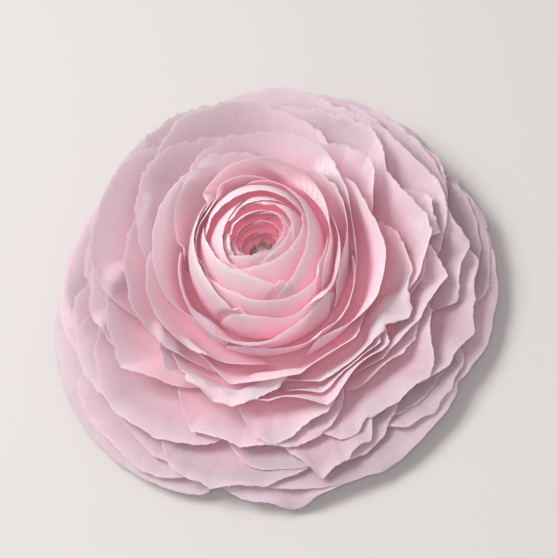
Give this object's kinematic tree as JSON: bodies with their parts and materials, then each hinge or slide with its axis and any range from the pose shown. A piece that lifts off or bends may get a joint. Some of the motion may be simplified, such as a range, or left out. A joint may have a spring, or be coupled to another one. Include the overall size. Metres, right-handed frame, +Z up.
{
  "type": "ranunculus flower",
  "caption": "Open, many-petalled pale pink ranunculus bloom: nested petals round a closed heart, a carpel eye, small sepals and a short cut stem, lying face up on its guard petals.",
  "frame": {"origin": "on the resting plane, under the middle of the bloom's outline", "axes": "+Z up out of the heart, -Y towards the viewer of the picture, +X to the viewer's right"},
  "size_m": [0.09, 0.0894, 0.0298],
  "materials": {
    "petal": "soft, faintly sheened, pale pink with a deeper pink in the folds",
    "eye": "matte grey-green with beige tips",
    "sepal": "matte pale green",
    "stem": "satin green"
  },
  "bodies": {
    "root": {"petals": "petal", "eye": "eye", "sepals": "sepal", "stem": "stem"}
  },
  "joints": []
}
